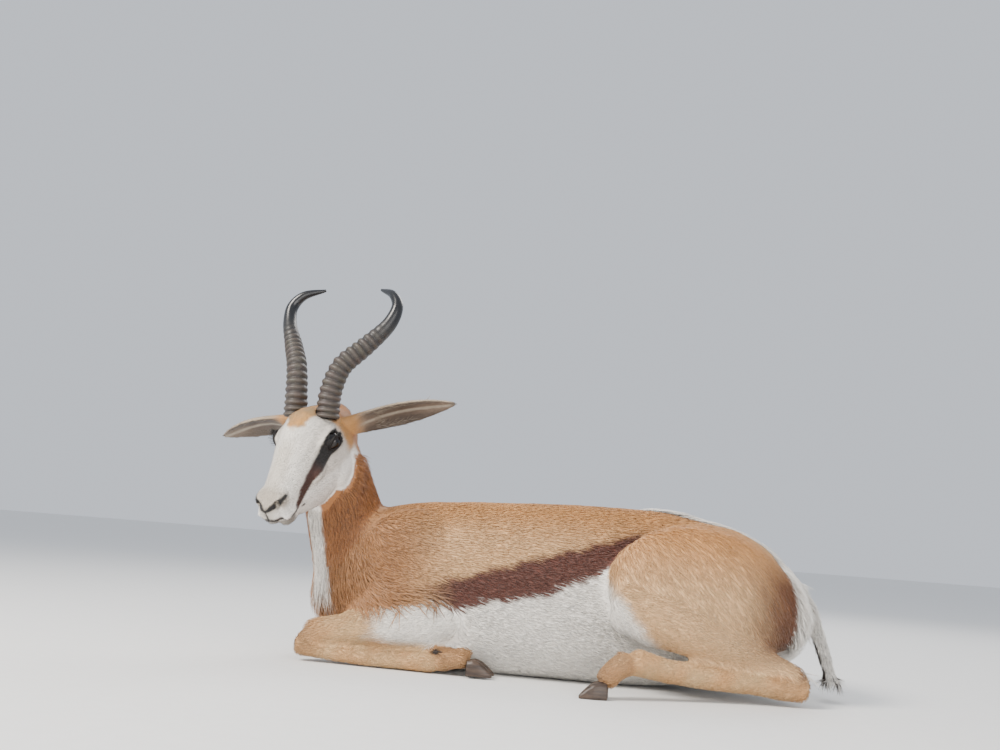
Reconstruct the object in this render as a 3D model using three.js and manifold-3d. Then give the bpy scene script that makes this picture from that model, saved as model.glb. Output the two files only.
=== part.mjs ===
// A springbok ram lying on its breastbone with its head raised and turned to its left, at life size.
// Millimetres, +Z up. The head end points to -X, the animal's left side to -Y.
// The origin is on the floor under the middle of the trunk.

import * as THREE from "three";
import { mergeVertices } from "three/addons/utils/BufferGeometryUtils.js";
import Module from "manifold-3d";

const wasm = await Module();
wasm.setup();

// Driving dimensions
const TRUNK_LENGTH = 800;
const TRUNK_HEIGHT = 278; // back above the floor, coat included
const BELLY_HALF_WIDTH = 128;
const HEAD_SCALE = 1.03; // of a 215 mm long head
const EYE_RADIUS = 14.5;
const HORN_BASE_RADIUS = 20;
const HORN_RINGS = 15;
const EAR_LENGTH = 190; // its hidden root included
const CLAW_LENGTH = 40;
const GAP = 0.3; // left between neighbouring pieces
const CLEAR = 2 * GAP; // by which a cutter's faceted sides are widened, to leave that gap

const v = (x, y, z) => new THREE.Vector3(x, y, z);
const lerp = THREE.MathUtils.lerp;

// Coat and horn colours
const finish = (color, roughness = 0.85) => new THREE.MeshStandardMaterial({ color, roughness });
const FAWN = finish(0xb9814a);
const WHITE = finish(0xe9e3d8);
const HORN = finish(0x2e2723, 0.45);
const EYE = finish(0x120b08, 0.08);
const HOOF = finish(0x4a413c, 0.5);
const EAR = finish(0x9a8a78);

// Turns a geometry into a solid for joining and cutting
function solid(geometry) {
  const plain = geometry.clone();
  for (const extra of ["normal", "uv"]) plain.deleteAttribute(extra);
  const merged = mergeVertices(plain, 1e-3);
  return new wasm.Manifold(
    new wasm.Mesh({
      numProp: 3,
      vertProperties: merged.attributes.position.array,
      triVerts: new Uint32Array(merged.index.array),
    }),
  );
}

// Turns a solid back into a geometry
function geometryOf(body) {
  const mesh = body.getMesh();
  const corners = new Float32Array(mesh.numVert * 3);
  for (let i = 0; i < mesh.numVert; i++)
    corners.set(mesh.vertProperties.subarray(i * mesh.numProp, i * mesh.numProp + 3), i * 3);
  const geometry = new THREE.BufferGeometry();
  geometry.setAttribute("position", new THREE.BufferAttribute(corners, 3));
  geometry.setIndex(new THREE.BufferAttribute(new Uint32Array(mesh.triVerts), 1));
  geometry.computeVertexNormals();
  return geometry;
}

// Keeps the largest closed surface of a solid
function largest(body) {
  return body.decompose().reduce((a, b) => (a.volume() > b.volume() ? a : b));
}

const join = (...bodies) => bodies.reduce((a, b) => a.add(b));

// Skins a row of closed sections, each a list of points, and closes both ends on a middle point
function skin(sections) {
  const count = sections[0].length;
  const points = sections.flat();
  const faces = [];
  for (let s = 0; s + 1 < sections.length; s++)
    for (let i = 0; i < count; i++) {
      const j = (i + 1) % count;
      const [a, b, c, d] = [s * count + i, s * count + j, (s + 1) * count + j, (s + 1) * count + i];
      faces.push(a, b, d, b, c, d);
    }
  const middle = (section) =>
    section.reduce((sum, p) => sum.add(p), v(0, 0, 0)).divideScalar(count);
  const last = (sections.length - 1) * count;
  points.push(middle(sections[0]), middle(sections.at(-1)));
  for (let i = 0; i < count; i++) {
    const j = (i + 1) % count;
    faces.push(points.length - 2, j, i, points.length - 1, last + i, last + j);
  }
  const geometry = new THREE.BufferGeometry().setFromPoints(points);
  geometry.setIndex(faces);
  const made = solid(geometry);
  if (made.volume() > 0) return made;
  for (let f = 0; f < faces.length; f += 3) [faces[f + 1], faces[f + 2]] = [faces[f + 2], faces[f + 1]];
  geometry.setIndex(faces);
  return solid(geometry);
}

// A round-ended limb along stations [x, y, z, half width, half depth], smoothed by a curve.
// The half depth is measured along `up`, as far as the limb's own run allows.
// grow widens it all over, for cutting a neighbour clear of it.
function limb(stations, { up = v(0, 0, 1), sides = 14, steps = 3, grow = 0, floor = true, dome = 1, shape } = {}) {
  const path = new THREE.CatmullRomCurve3(stations.map((s) => v(s[0], s[1], s[2])), false, "centripetal");
  const rows = (stations.length - 1) * steps;
  const value = (t, k) => {
    const at = t * (stations.length - 1);
    const i = Math.min(Math.floor(at), stations.length - 2);
    const u = at - i;
    const [p0, p1, p2, p3] = [i - 1, i, i + 1, i + 2].map(
      (n) => stations[Math.max(0, Math.min(stations.length - 1, n))][k],
    );
    const bend = 2 * p1 + (p2 - p0) * u + (2 * p0 - 5 * p1 + 4 * p2 - p3) * u * u;
    return 0.5 * (bend + (3 * p1 - p0 - 3 * p2 + p3) * u * u * u);
  };
  const ring = (centre, along, wide, deep) => {
    const side = v().crossVectors(along, up).normalize();
    const rise = v().crossVectors(side, along).normalize();
    return Array.from({ length: sides }, (_, i) => {
      const a = (2 * Math.PI * i) / sides;
      const [across, over] = shape ? shape(a) : [Math.cos(a), Math.sin(a)];
      const p = centre.clone().addScaledVector(side, wide * across).addScaledVector(rise, deep * over);
      if (floor) p.z = Math.max(p.z, grow ? -5 : 0);
      return p;
    });
  };
  const sections = [];
  for (let r = 0; r <= rows; r++) {
    const t = r / rows;
    const along = path.getTangent(t);
    const [wide, deep] = [value(t, 3) + grow, value(t, 4) + grow];
    const end = r === 0 ? -1 : r === rows ? 1 : 0;
    const cap = [
      [0.5, 0.55],
      [0.28, 0.88],
    ];
    const small = Math.min(wide, deep);
    const domed = cap.map(([out, part]) =>
      ring(path.getPoint(t).addScaledVector(along, end * out * dome * small), along, wide * part, deep * part),
    );
    if (end < 0) sections.push(...domed);
    sections.push(ring(path.getPoint(t), along, wide, deep));
    if (end > 0) sections.push(...domed.reverse());
  }
  return skin(sections);
}

// An egg-shaped muscle: centre, half sizes and a turn about Z and then Y in degrees
function muscle([x, y, z], [a, b, c], [turnZ, turnY] = [0, 0], grow = 0, sides = 10) {
  const egg = new THREE.SphereGeometry(1, sides, Math.round(sides * 0.6));
  egg.scale(a + grow, b + grow, c + grow);
  egg.rotateY(THREE.MathUtils.degToRad(turnY)).rotateZ(THREE.MathUtils.degToRad(turnZ));
  egg.translate(x, y, z);
  return solid(egg);
}

// Mirrors stations to the animal's right side
const mirrored = (stations) => stations.map(([x, y, ...rest]) => [x, -y, ...rest]);
const onSide = (side, stations) => (side === "left" ? stations : mirrored(stations));

// Trunk: rows of [x, half width, top, bottom]; the top narrows to the spine and the belly lies flat
const TRUNK_ROWS = [
  [-0.495, 0.16, 0.73, 0.46],
  [-0.48, 0.34, 0.81, 0.35],
  [-0.456, 0.52, 0.86, 0.24],
  [-0.42, 0.67, 0.9, 0.13],
  [-0.37, 0.8, 0.925, 0.04],
  [-0.29, 0.91, 0.95, -0.01],
  [-0.18, 0.98, 0.972, -0.02],
  [-0.08, 1.0, 0.985, -0.02],
  [0.02, 1.0, 0.998, -0.02],
  [0.115, 0.98, 1.0, -0.015],
  [0.2, 0.93, 0.985, 0.0],
  [0.28, 0.86, 0.945, 0.03],
  [0.355, 0.77, 0.87, 0.08],
  [0.42, 0.64, 0.755, 0.14],
  [0.463, 0.46, 0.645, 0.22],
  [0.482, 0.24, 0.55, 0.32],
];
function trunkSection(a) {
  const [c, s] = [Math.cos(a), Math.sin(a)];
  const spine = 1 - 0.26 * Math.max(0, s) ** 2;
  return [Math.sign(c) * Math.abs(c) ** 0.86 * spine, Math.sign(s) * Math.abs(s) ** 0.92];
}
function trunk(grow = 0) {
  const stations = TRUNK_ROWS.map(([x, wide, top, bottom]) => [
    x * TRUNK_LENGTH,
    0,
    ((top + bottom) / 2) * TRUNK_HEIGHT,
    wide * BELLY_HALF_WIDTH,
    ((top - bottom) / 2) * TRUNK_HEIGHT,
  ]);
  return limb(stations, { sides: 24, steps: 1, grow, dome: 0.4, shape: trunkSection });
}
// Muscles that swell the trunk: shoulder blade, upper foreleg and haunch
const SWELLS = [
  { at: [-236, -74, 168], half: [86, 42, 84], turn: [-8, 30] },
  { at: [-232, -88, 104], half: [104, 42, 48], turn: [-6, -22] },
  { at: [-306, -56, 132], half: [70, 44, 64], turn: [-24, 20] },
  { at: [250, -44, 178], half: [116, 76, 82], turn: [6, 14] },
  { at: [312, -40, 128], half: [74, 64, 82], turn: [8, 20] },
];
function swells() {
  const both = SWELLS.flatMap(({ at, half, turn }) => [
    muscle(at, half, turn, 0, 12),
    muscle([at[0], -at[1], at[2]], half, [-turn[0], turn[1]], 0, 12),
  ]);
  return join(...both);
}

// Neck, from the chest up to the back of the skull
const NECK = [
  [-311, 0, 118, 84, 84],
  [-338, 0, 172, 73, 75],
  [-361, -8, 222, 61, 65],
  [-373, -24, 272, 54, 59],
  [-382, -44, 316, 48, 54],
  [-390, -58, 346, 41, 45],
];
const neck = (grow = 0) => limb(NECK, { up: v(1, 0, 0), sides: 16, steps: 1, grow });

// Hind leg: thigh, gaskin, hock with cannon, and pastern
const THIGH = [
  [98, -140, 166, 20, 46],
  [130, -138, 166, 40, 72],
  [180, -126, 164, 52, 92],
  [240, -106, 157, 60, 97],
  [296, -88, 141, 56, 84],
  [338, -76, 124, 45, 64],
  [364, -70, 112, 29, 42],
];
const GASKIN = [
  [112, -150, 130, 34, 41],
  [160, -154, 117, 38, 47],
  [220, -146, 97, 33, 37],
  [280, -130, 77, 22, 26],
  [328, -116, 60, 14, 18],
  [370, -107, 44, 14, 15],
];
const HIND_CANNON = [
  [378, -104, 26, 17, 19],
  [348, -110, 31, 19, 23],
  [304, -122, 33, 15, 19],
  [240, -146, 34, 13, 17],
  [176, -178, 42, 13, 16.5],
  [134, -199, 52, 16, 19],
];
const HIND_PASTERN = [
  [120, -206, 50, 17, 18],
  [104, -213, 39, 16, 15],
  [94, -218, 27, 17, 15],
];

// Foreleg: forearm, cannon folded back under it, and pastern
const FOREARM = [
  [-146, -98, 88, 24, 32],
  [-190, -108, 80, 33, 41],
  [-260, -112, 67, 26, 31],
  [-325, -108, 56, 19, 22],
  [-372, -104, 47, 19, 20],
];
const FORE_CANNON = [
  [-388, -103, 27, 17, 19],
  [-355, -104, 20, 13, 14],
  [-290, -107, 15, 12, 13],
  [-220, -110, 15, 12, 13],
  [-178, -111, 18, 16, 17],
];
const FORE_PASTERN = [
  [-162, -112, 20, 15, 16],
  [-142, -114, 24, 14, 13],
  [-126, -115, 26, 16, 14],
];

// Tail, hanging clear of the rump with its tip on the floor
const TAIL = [
  [374, 0, 168, 15, 13],
  [396, 3, 142, 14, 11],
  [410, 8, 111, 12, 10],
  [422, 13, 80, 11, 9],
  [432, 18, 52, 10, 8],
  [438, 21, 38, 6, 6],
];

// Head, in its own frame: +X to the nose, +Y to the left, +Z to the forehead, origin midway between the eyes
const HEAD_ROWS = [
  // x, half width, top, bottom
  [-90, 30, 30, -32],
  [-72, 45, 46, -64],
  [-46, 53, 55, -97],
  [-18, 55, 56, -106],
  [10, 52, 48, -105],
  [36, 45, 34, -98],
  [62, 38, 19, -88],
  [86, 32, 7, -78],
  [106, 29, -3, -71],
  [121, 26, -11, -65],
  [130, 18, -20, -58],
];
function headSection(a) {
  const [c, s] = [Math.cos(a), Math.sin(a)];
  const taper = s > 0 ? 1 - 0.1 * s * s : 1 - 0.22 * s * s;
  const square = s > 0 ? 1 : 0.7;
  return [Math.sign(c) * Math.abs(c) ** square * taper, s];
}
function skull(grow = 0) {
  const stations = HEAD_ROWS.map(([x, wide, top, bottom]) => [x, 0, (top + bottom) / 2, wide, (top - bottom) / 2]);
  return limb(stations, { sides: 22, steps: 1, grow, floor: false, shape: headSection });
}
const EYE_AT = [-3, 45, 5];
const HORN_PATH = [
  [-30, 30, 30],
  [-54, 32, 62],
  [-86, 42, 90],
  [-131, 71, 107],
  [-170, 96, 125],
  [-196, 101, 142],
  [-215, 87, 153],
  [-236, 54, 153],
];

// The soft masses on the skull: brow, cheekbone, jaw muscle, nostril swell and lips
function flesh(grow = 0) {
  const masses = [1, -1].flatMap((side) => [
    muscle([-6, 36 * side, 16], [30, 15, 12], [8 * side, 8], grow),
    muscle([16, 34 * side, -16], [46, 12, 14], [11 * side, 16], grow),
    muscle([-32, 37 * side, -60], [46, 20, 48], [5 * side, -8], grow, 12),
    muscle([112, 13 * side, -20], [22, 14, 12], [10 * side, 14], grow),
    muscle([100, 17 * side, -45], [32, 13, 12], [12 * side, 6], grow),
    muscle([98, 10 * side, -61], [28, 13, 12], [8 * side, 4], grow),
  ]);
  return join(skull(grow), ...masses);
}
function features(body) {
  let made = body;
  for (const side of [1, -1]) {
    const at = v(EYE_AT[0], EYE_AT[1] * side, EYE_AT[2]);
    // Lids: two rims round the ball of the eye
    for (const [tilt, thick] of [[-28, 3.6], [26, 3.0]]) {
      const rim = new THREE.TorusGeometry(EYE_RADIUS - 1, thick, 5, 12);
      rim.rotateX(Math.PI / 2).rotateX(THREE.MathUtils.degToRad(tilt * side));
      rim.scale(1.12, 1, 0.72);
      rim.rotateY(THREE.MathUtils.degToRad(16)).rotateZ(THREE.MathUtils.degToRad(-14 * side));
      rim.translate(at.x, at.y + 6 * side, at.z + (tilt < 0 ? 2.5 : -2.5));
      made = made.add(solid(rim));
    }
  }
  for (const side of [1, -1]) {
    // The socket the eye sits in, the nostril and the line of the mouth
    const socket = new THREE.SphereGeometry(EYE_RADIUS + CLEAR, 16, 10);
    socket.translate(EYE_AT[0], EYE_AT[1] * side, EYE_AT[2]);
    made = made.subtract(solid(socket));
    made = made.subtract(muscle([128, 17 * side, -25], [12, 3.6, 8], [40 * side, 35]));
    const mouth = [
      [76, 33 * side, -53, 2.0, 6],
      [98, 32 * side, -52, 1.5, 7],
      [118, 26 * side, -50, 1.5, 7],
      [135, 9 * side, -48, 1.5, 8],
      [138, -3 * side, -48, 1.5, 8],
    ].map(([x, y, z, thick, deep]) => [x, y, z, deep, thick]);
    made = made.subtract(limb(mouth, { sides: 8, steps: 2, floor: false }));
  }
  return made;
}

// Ear: a long cupped leaf along +X, opening to +Z, closed to a stalk at its root
function ear(grow = 0) {
  const rows = [
    // share of length, half width, depth of the cup
    [0.0, 0.1, 0.0],
    [0.1, 0.106, 0.0],
    [0.2, 0.115, 0.3],
    [0.35, 0.127, 0.62],
    [0.5, 0.13, 0.72],
    [0.65, 0.118, 0.7],
    [0.8, 0.088, 0.6],
    [0.92, 0.05, 0.45],
    [1.0, 0.018, 0.1],
  ];
  const arc = 8;
  const sections = rows.map(([share, wide, cup]) => {
    const half = wide * EAR_LENGTH + grow;
    const wall = 3.2 + 6 * (1 - cup);
    const out = share * EAR_LENGTH - (share === 0 ? grow : 0);
    const back = (i) => {
      const a = Math.PI * (1 + i / arc);
      return v(out, half * Math.cos(a), 0.75 * half * Math.sin(a) - grow);
    };
    const front = (i) => {
      const a = Math.PI * (2 - i / arc);
      const lift = lerp(-0.75 * half * Math.sin(a) * 0.5, 0.75 * half * Math.sin(a) + wall, Math.sqrt(cup));
      return v(out, half * 0.94 * Math.cos(a), lift + grow);
    };
    return [
      ...Array.from({ length: arc + 1 }, (_, i) => back(i)),
      ...Array.from({ length: arc - 1 }, (_, i) => front(i + 1)),
    ];
  });
  return skin(sections);
}

// Horn: a ringed curve that sweeps back and out and hooks in at the tip
function horn(side, grow = 0) {
  const path = new THREE.CatmullRomCurve3(HORN_PATH.map(([x, y, z]) => v(x, y * side, z)), false, "centripetal");
  const ringed = 0.64;
  const rings = HORN_RINGS * 2;
  const shares = [
    ...Array.from({ length: rings }, (_, i) => (ringed * i) / rings),
    ...Array.from({ length: 11 }, (_, i) => lerp(ringed, 1, i / 10)),
  ];
  const sides = 10;
  const sections = shares.map((t, i) => {
    const along = path.getTangentAt(t);
    const across = v().crossVectors(along, v(0, 0, 1)).normalize();
    const rise = v().crossVectors(across, along).normalize();
    const ridge = i < rings ? [0.92, 1.06][i % 2] : 0.95;
    const taper = 1 - 0.42 * t - 0.46 * t ** 5;
    const radius = HORN_BASE_RADIUS * taper * ridge + grow;
    const centre = path.getPointAt(t).addScaledVector(along, i === 0 ? -grow : 0);
    return Array.from({ length: sides }, (_, k) => {
      const a = (2 * Math.PI * k) / sides;
      return centre
        .clone()
        .addScaledVector(across, radius * 0.92 * Math.cos(a))
        .addScaledVector(rise, radius * Math.sin(a));
    });
  });
  return skin(sections);
}

// One claw of a cloven hoof along +X, sole down on z = 0
function claw(grow = 0) {
  const rows = [
    // share of length, half width, height
    [0, 0.19, 0.56],
    [0.25, 0.22, 0.62],
    [0.5, 0.21, 0.54],
    [0.75, 0.17, 0.36],
    [1, 0.07, 0.12],
  ];
  const outline = [
    [-1, 0],
    [-1, 0.35],
    [-0.84, 0.78],
    [-0.35, 1],
    [0.35, 1],
    [0.84, 0.78],
    [1, 0.35],
    [1, 0],
  ];
  const sections = rows.map(([share, wide, high], i) => {
    const [w, h] = [wide * CLAW_LENGTH + grow, high * CLAW_LENGTH + 2 * grow];
    const x = (share - 0.35) * CLAW_LENGTH + (i === 0 ? -grow : 0) + (i === rows.length - 1 ? grow : 0);
    return outline.map(([y, z]) => v(x, y * w, z * h - grow));
  });
  return skin(sections);
}

// One flat tapered lock of long hair, bent along its lie
function lock(root, lie, outward, length, width) {
  const across = v().crossVectors(lie, outward).normalize();
  const rows = [
    [-0.18, 0.8, -0.1],
    [0.2, 1, 0.06],
    [0.62, 0.75, 0.1],
    [1, 0.12, 0.02],
  ];
  const thick = 2.2;
  const sections = rows.map(([share, wide, lift]) => {
    const centre = root
      .clone()
      .addScaledVector(lie, share * length)
      .addScaledVector(outward, lift * length);
    const w = (wide * width) / 2;
    return [
      centre.clone().addScaledVector(across, -w),
      centre.clone().addScaledVector(outward, thick * wide),
      centre.clone().addScaledVector(across, w),
      centre.clone().addScaledVector(outward, -thick * wide * 0.6),
    ];
  });
  return skin(sections);
}

// A steady draw between -1 and 1 for small variation
let seed = 7;
function draw() {
  seed = (seed * 16807) % 2147483647;
  return (seed / 2147483647) * 2 - 1;
}

// The white crest on the rump, lying back along the spine
const CREST = { from: 96, to: 358, rows: 8, columns: 3, length: 60, width: 18 };
function spineHeight(x) {
  const share = x / TRUNK_LENGTH;
  const i = TRUNK_ROWS.findIndex((row) => row[0] > share);
  const [a, b] = [TRUNK_ROWS[i - 1], TRUNK_ROWS[i]];
  return lerp(a[2], b[2], (share - a[0]) / (b[0] - a[0])) * TRUNK_HEIGHT;
}
function crest() {
  const locks = [];
  for (let r = 0; r < CREST.rows; r++)
    for (let c = 0; c < CREST.columns; c++) {
      const spread = c - (CREST.columns - 1) / 2;
      const x = lerp(CREST.from, CREST.to, (r + (c % 2) / 2) / CREST.rows);
      const drop = (spineHeight(x + 12) - spineHeight(x - 4)) / 16;
      const lie = v(1, spread * 0.22 + 0.06 * draw(), drop - 0.02).normalize();
      const outward = v(-drop, spread * 0.35, 1).normalize();
      const root = v(x, spread * 17 + 2 * draw(), spineHeight(x) - 3 - 3 * Math.abs(spread));
      locks.push(lock(root, lie, outward, CREST.length * (1 + 0.15 * draw()), CREST.width));
    }
  return join(...locks);
}

// The dark tuft at the end of the tail
function tailTuft() {
  const locks = [];
  for (let i = 0; i < 7; i++) {
    const a = (2 * Math.PI * i) / 7;
    const root = v(431 + 3 * Math.cos(a), 18 + 4 * Math.sin(a), 52);
    const lie = v(0.3 + 0.25 * Math.cos(a), 0.15 + 0.3 * Math.sin(a), -0.9).normalize();
    const outward = v(Math.cos(a), Math.sin(a), 0.3).normalize();
    locks.push(lock(root, lie, outward, 42 + 5 * draw(), 13));
  }
  return join(...locks);
}

// Places a solid with a matrix
const placed = (body, matrix) => body.transform(Array.from(matrix.elements));

// Head placed on the neck: heading turns it from -X towards -Y, pitch drops the nose
const HEAD_PLACE = { at: [-412, -102, 338.5], heading: 73, pitch: 39.5, roll: -1 };
function headMatrix() {
  const { at, heading, pitch, roll } = HEAD_PLACE;
  const rad = THREE.MathUtils.degToRad;
  const turn = new THREE.Matrix4().makeRotationZ(Math.PI + rad(heading));
  const nod = new THREE.Matrix4().makeRotationY(rad(pitch));
  const lean = new THREE.Matrix4().makeRotationX(rad(roll));
  const size = new THREE.Matrix4().makeScale(HEAD_SCALE, HEAD_SCALE, HEAD_SCALE);
  return new THREE.Matrix4().makeTranslation(...at).multiply(turn).multiply(nod).multiply(lean).multiply(size);
}

// An ear placed from its root to its tip, with its cup facing `open`
function earMatrix(root, tip, open) {
  const along = v().subVectors(tip, root).normalize();
  const across = v().crossVectors(open, along).normalize();
  const face = v().crossVectors(along, across).normalize();
  return new THREE.Matrix4().makeBasis(along, across, face).setPosition(root);
}
const EARS = {
  left: { root: v(-364, -72, 371), tip: v(-177, -20, 433), open: v(-0.1, -0.62, -0.72) },
  right: { root: v(-447, -58, 376), tip: v(-600, 34, 356), open: v(0.1, -0.5, -0.85) },
};

// A hoof's two claws placed by where the pastern ends
const DEWCLAWS = { hind: [140, -206, 37], fore: [-172, -112, 34] };
const HOOVES = {
  hind: { at: v(82, -223, 0), heading: 198 },
  fore: { at: v(-106, -116, 3), heading: 4 },
};

const group = new THREE.Group();
function add(name, body, material) {
  const mesh = new THREE.Mesh(geometryOf(largest(body)), material);
  mesh.name = name;
  group.add(mesh);
}

const toWorld = headMatrix();
const clawCutters = [];
const headSolid = (grow = 0) => placed(flesh(grow), toWorld);
const eyes = {};
const horns = {};
for (const [name, side] of [["left", 1], ["right", -1]]) {
  const ball = new THREE.SphereGeometry(EYE_RADIUS, 16, 10);
  ball.translate(EYE_AT[0], EYE_AT[1] * side, EYE_AT[2]);
  eyes[name] = placed(solid(ball), toWorld);
  horns[name] = placed(horn(side), toWorld);
}
const ears = {};
const earsGrown = {};
for (const [name, place] of Object.entries(EARS)) {
  const matrix = earMatrix(place.root, place.tip, place.open);
  ears[name] = placed(ear(), matrix);
  earsGrown[name] = placed(ear(CLEAR), matrix);
}

// Head with its features; the horns and ears are set in it, the neck meets its back
let head = placed(features(flesh()), toWorld);
for (const [name, side] of [["left", 1], ["right", -1]]) {
  head = head.subtract(placed(horn(side, CLEAR), toWorld));
  head = head.subtract(earsGrown[name]);
}
add("head", head, FAWN);
for (const name of ["left", "right"]) {
  add("eye_" + name, eyes[name], EYE);
  add("horn_" + name, horns[name], HORN);
  add("ear_" + name, ears[name].subtract(horns.left).subtract(horns.right), EAR);
}

// Legs, each cut clear of the piece it folds against
const legCutters = [];
for (const side of ["left", "right"]) {
  const piece = (stations, options = {}) => (grow = 0) => limb(onSide(side, stations), { sides: 12, steps: 1, grow, ...options });
  const thigh = piece(THIGH, { sides: 18, steps: 2 });
  const gaskin = piece(GASKIN, { sides: 14 });
  const hindCannon = piece(HIND_CANNON);
  const hindPastern = piece(HIND_PASTERN, { sides: 12 });
  const forearm = piece(FOREARM);
  const foreCannon = piece(FORE_CANNON);
  const forePastern = piece(FORE_PASTERN, { sides: 12 });
  add("thigh_" + side, thigh(), FAWN);
  add("gaskin_" + side, gaskin().subtract(thigh(CLEAR)).subtract(hindCannon(CLEAR)), FAWN);
  add("hind_cannon_" + side, hindCannon(), FAWN);
  add("forearm_" + side, forearm().subtract(foreCannon(CLEAR)), FAWN);
  add("fore_cannon_" + side, foreCannon(), FAWN);
  const feet = { hind: [hindPastern, hindCannon], fore: [forePastern, foreCannon] };
  for (const [end, [pastern, above]] of Object.entries(feet)) {
    const { at, heading } = HOOVES[end];
    const [dewX, dewY, dewZ] = DEWCLAWS[end];
    let meat = pastern();
    for (const apart of [-10, 10]) {
      const [spot] = onSide(side, [[dewX, dewY + apart, dewZ]]);
      meat = meat.add(muscle(spot, [10, 5, 6], [0, 0], 0, 6));
    }
    meat = meat.subtract(above(CLEAR));
    for (const [place, claws] of [["outer", -1], ["inner", 1]]) {
      const mirror = side === "left" ? 1 : -1;
      const angle = THREE.MathUtils.degToRad(heading + claws * 4) * mirror;
      const spot = v(at.x, (at.y + claws * 10.5) * mirror, at.z);
      const matrix = new THREE.Matrix4().makeRotationZ(angle).setPosition(spot);
      const hoof = placed(claw(), matrix);
      meat = meat.subtract(placed(claw(CLEAR), matrix));
      clawCutters.push(placed(claw(CLEAR), matrix));
      add(`hoof_${end}_${side}_${place}`, hoof, HOOF);
    }
    add(`${end}_pastern_${side}`, meat, FAWN);
  }
  legCutters.push(thigh(CLEAR), gaskin(CLEAR), hindCannon(CLEAR), forearm(CLEAR), foreCannon(CLEAR));
  legCutters.push(forePastern(CLEAR), hindPastern(CLEAR));
}

// Neck and trunk, cut clear of the head and legs
const tail = (grow = 0) => limb(TAIL, { up: v(0, 1, 0), sides: 10, steps: 2, grow });
let neckBody = neck().subtract(headSolid(CLEAR));
for (const name of ["left", "right"]) neckBody = neckBody.subtract(earsGrown[name]);
let trunkBody = join(trunk(), swells(), crest());
trunkBody = trunkBody.subtract(neck(CLEAR)).subtract(tail(CLEAR));
for (const cutter of [...legCutters, ...clawCutters]) {
  trunkBody = trunkBody.subtract(cutter);
  neckBody = neckBody.subtract(cutter);
}
add("trunk", trunkBody, FAWN);
add("neck", neckBody, FAWN);
add("tail", tail().add(tailTuft()), WHITE);

export default group;
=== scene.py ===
from math import cos, pi, radians, sin

import bpy
import numpy as np
from mathutils import Matrix, Vector
from mathutils.bvhtree import BVHTree


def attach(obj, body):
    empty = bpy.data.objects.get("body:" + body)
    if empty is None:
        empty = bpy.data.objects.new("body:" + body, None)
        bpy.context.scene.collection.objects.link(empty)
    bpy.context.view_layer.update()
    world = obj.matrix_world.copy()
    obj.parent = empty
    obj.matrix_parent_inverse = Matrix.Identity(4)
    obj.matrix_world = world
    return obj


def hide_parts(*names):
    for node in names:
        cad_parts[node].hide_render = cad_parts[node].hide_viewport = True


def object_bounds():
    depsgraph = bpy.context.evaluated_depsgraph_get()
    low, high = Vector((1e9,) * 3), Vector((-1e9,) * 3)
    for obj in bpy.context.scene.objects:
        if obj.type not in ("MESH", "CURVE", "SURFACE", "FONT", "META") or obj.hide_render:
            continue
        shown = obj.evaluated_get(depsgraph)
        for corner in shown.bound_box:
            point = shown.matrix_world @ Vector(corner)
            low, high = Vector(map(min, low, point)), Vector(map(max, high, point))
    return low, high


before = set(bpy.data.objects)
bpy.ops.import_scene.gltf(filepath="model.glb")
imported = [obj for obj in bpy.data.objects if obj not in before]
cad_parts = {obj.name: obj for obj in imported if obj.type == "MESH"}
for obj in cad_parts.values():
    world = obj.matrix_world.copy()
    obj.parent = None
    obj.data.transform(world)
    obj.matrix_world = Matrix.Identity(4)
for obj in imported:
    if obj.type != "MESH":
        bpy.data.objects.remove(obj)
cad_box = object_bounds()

# Camera: it stands low in front of the animal's left side, a little towards the tail, and is tipped
# slightly up and anticlockwise.
VIEW_HEIGHT = 0.200
VIEW_DISTANCE = 1.82
VIEW_OFFSET = 0.12
view_yaw, view_pitch, view_roll = radians(8.0), radians(8.81), radians(4.46)
ahead = Vector((-sin(view_yaw), cos(view_yaw), 0))
across = Vector((cos(view_yaw), sin(view_yaw), 0))
camera_at = Vector((0, 0, VIEW_HEIGHT)) - VIEW_DISTANCE * ahead - VIEW_OFFSET * across
sight = cos(view_pitch) * ahead + Vector((0, 0, sin(view_pitch)))
over = -sin(view_pitch) * ahead + Vector((0, 0, cos(view_pitch)))
camera_right = cos(view_roll) * across + sin(view_roll) * over
camera_up = -sin(view_roll) * across + cos(view_roll) * over
bpy.ops.object.camera_add(location=camera_at)
camera = bpy.context.object
camera.name = "photo_view"
camera.matrix_world = Matrix.Translation(camera_at) @ Matrix(
    (
        (camera_right.x, camera_up.x, -sight.x, 0),
        (camera_right.y, camera_up.y, -sight.y, 0),
        (camera_right.z, camera_up.z, -sight.z, 0),
        (0, 0, 0, 1),
    )
)
camera.data.lens = 39.6
camera.data.sensor_width = 36
camera.data.clip_start = 0.01
bpy.context.scene.camera = camera


# Hide: one unbroken skin over trunk, neck, head, ears, legs and tail. The muscles under it are
# first joined and eased into one another, and it lies inside their form by the depth of the coat.
SIDES = ("left", "right")
LEG_PARTS = ("thigh", "gaskin", "hind_cannon", "hind_pastern", "forearm", "fore_cannon", "fore_pastern")
FLESH = ["trunk", "neck", "head", "tail"] + [f"{part}_{side}" for part in LEG_PARTS for side in SIDES]
FLESH += ["ear_left", "ear_right"]


def deselect():
    bpy.ops.object.select_all(action="DESELECT")


def choose(piece):
    deselect()
    piece.select_set(True)
    bpy.context.view_layer.objects.active = piece


def finish_with(piece, kind, **settings):
    """Adds one modifier and applies it."""
    choose(piece)
    modifier = piece.modifiers.new(kind.lower(), kind)
    for key, value in settings.items():
        setattr(modifier, key, value)
    bpy.ops.object.modifier_apply(modifier=modifier.name)


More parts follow.
